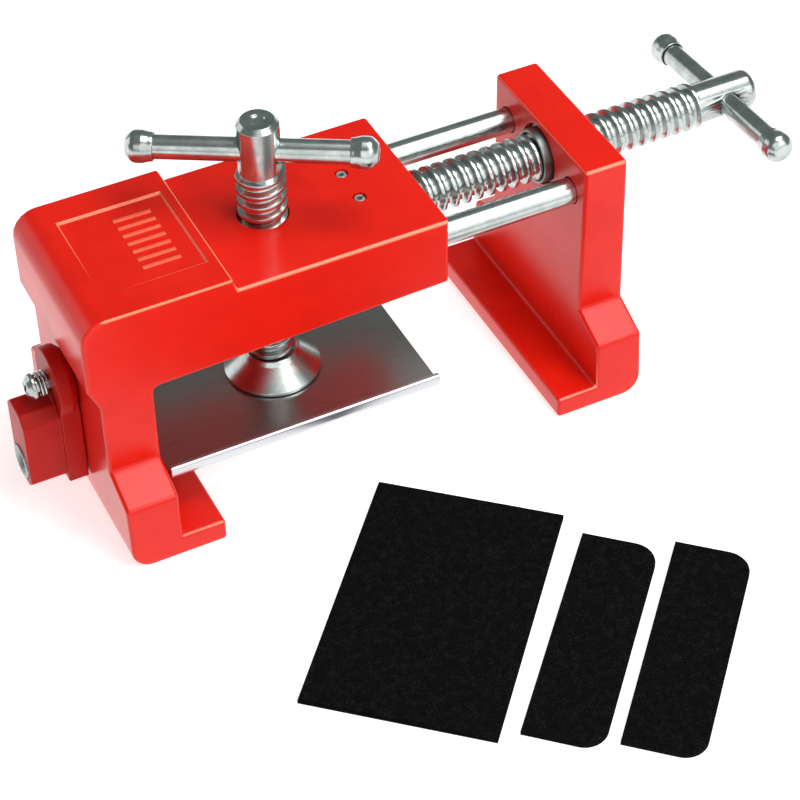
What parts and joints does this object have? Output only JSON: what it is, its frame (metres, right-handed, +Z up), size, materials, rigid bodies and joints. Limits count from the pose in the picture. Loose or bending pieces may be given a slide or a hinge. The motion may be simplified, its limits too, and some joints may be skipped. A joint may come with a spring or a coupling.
{
  "type": "cabinet face frame clamp",
  "caption": "Cast face-frame clamp with a fixed jaw, a screw-driven moving jaw on guide rods, a screw-down pressure plate, a swing-away drill guide and loose stick-on pads.",
  "frame": {"origin": "underside of the fixed jaw's foot, below the jaw's working face, in the middle of the width", "axes": "+X from the fixed jaw to the moving jaw and its handle, +Y across the width, away from the loose pads, +Z up"},
  "size_m": [0.2442, 0.2111, 0.1126],
  "materials": {
    "cast_red": "glossy red enamel over a smooth casting",
    "plated_steel": "bright zinc plating",
    "brushed_plate": "brushed zinc-plated sheet",
    "dark_steel": "blackened spring steel",
    "black_felt": "dense black stick-on felt"
  },
  "bodies": {
    "clamp_frame": {"fixed_body": "cast_red", "screw_pin_front": "dark_steel", "screw_pin_back": "dark_steel", "guide_screw": "plated_steel", "guide_spring": "plated_steel"},
    "jaw_carriage": {"moving_jaw": "cast_red", "guide_rod_front": "plated_steel", "guide_rod_back": "plated_steel", "jaw_nut": "plated_steel"},
    "screw_shaft": {"main_screw": "plated_steel"},
    "main_handle": {"main_t_bar": "plated_steel", "main_t_bar_cap_front": "plated_steel", "main_t_bar_cap_back": "plated_steel"},
    "plate_carriage": {"pressure_plate": "brushed_plate", "swivel_cup": "plated_steel"},
    "pressure_shaft": {"pressure_screw": "plated_steel"},
    "pressure_handle": {"pressure_t_bar": "plated_steel", "pressure_t_bar_cap_left": "plated_steel", "pressure_t_bar_cap_right": "plated_steel"},
    "guide_arm": {"drill_guide": "cast_red", "drill_bush": "dark_steel"},
    "loose_plate_pad": {"plate_pad": "black_felt"},
    "loose_fixed_jaw_pad": {"fixed_jaw_pad": "black_felt"},
    "loose_moving_jaw_pad": {"moving_jaw_pad": "black_felt"}
  },
  "joints": [
    {"name": "jaw_slide", "type": "slide", "parent": "clamp_frame", "child": "jaw_carriage", "axis": [1, 0, 0], "range_m": [-0.041, 0.038]},
    {"name": "main_screw_spin", "type": "hinge", "parent": "clamp_frame", "child": "screw_shaft", "pos_m": [0.07, 0, 0.0687], "axis": [1, 0, 0], "range_deg": [-3425, 3695]},
    {"name": "main_bar_slide", "type": "slide", "parent": "screw_shaft", "child": "main_handle", "axis": [0, 0.9976, -0.0698], "range_m": [-0.021, 0.021]},
    {"name": "plate_feed", "type": "slide", "parent": "clamp_frame", "child": "plate_carriage", "axis": [0, 0, 1], "range_m": [-0.011, 0.025]},
    {"name": "pressure_screw_spin", "type": "hinge", "parent": "plate_carriage", "child": "pressure_shaft", "pos_m": [0.0468, 0, 0.06], "axis": [0, 0, 1], "range_deg": [-985, 2245]},
    {"name": "pressure_bar_slide", "type": "slide", "parent": "pressure_shaft", "child": "pressure_handle", "axis": [0.866, -0.5, 0], "range_m": [-0.019, 0.0228]},
    {"name": "guide_swing", "type": "hinge", "parent": "clamp_frame", "child": "guide_arm", "pos_m": [-0.019, 0, 0.0436], "axis": [1, 0, 0], "range_deg": [-90, 90]},
    {"name": "plate_pad_lift", "type": "slide", "parent": "clamp_frame", "child": "loose_plate_pad", "axis": [0, 0, 1], "range_m": [0, 0.02]},
    {"name": "fixed_jaw_pad_lift", "type": "slide", "parent": "clamp_frame", "child": "loose_fixed_jaw_pad", "axis": [0, 0, 1], "range_m": [0, 0.02]},
    {"name": "moving_jaw_pad_lift", "type": "slide", "parent": "clamp_frame", "child": "loose_moving_jaw_pad", "axis": [0, 0, 1], "range_m": [0, 0.02]}
  ],
  "couplings": [
    {"joint": "main_screw_spin", "follows": "jaw_slide", "rad_per_m": -1570.8},
    {"joint": "plate_feed", "follows": "pressure_screw_spin", "m_per_rad": 0.00063662}
  ]
}
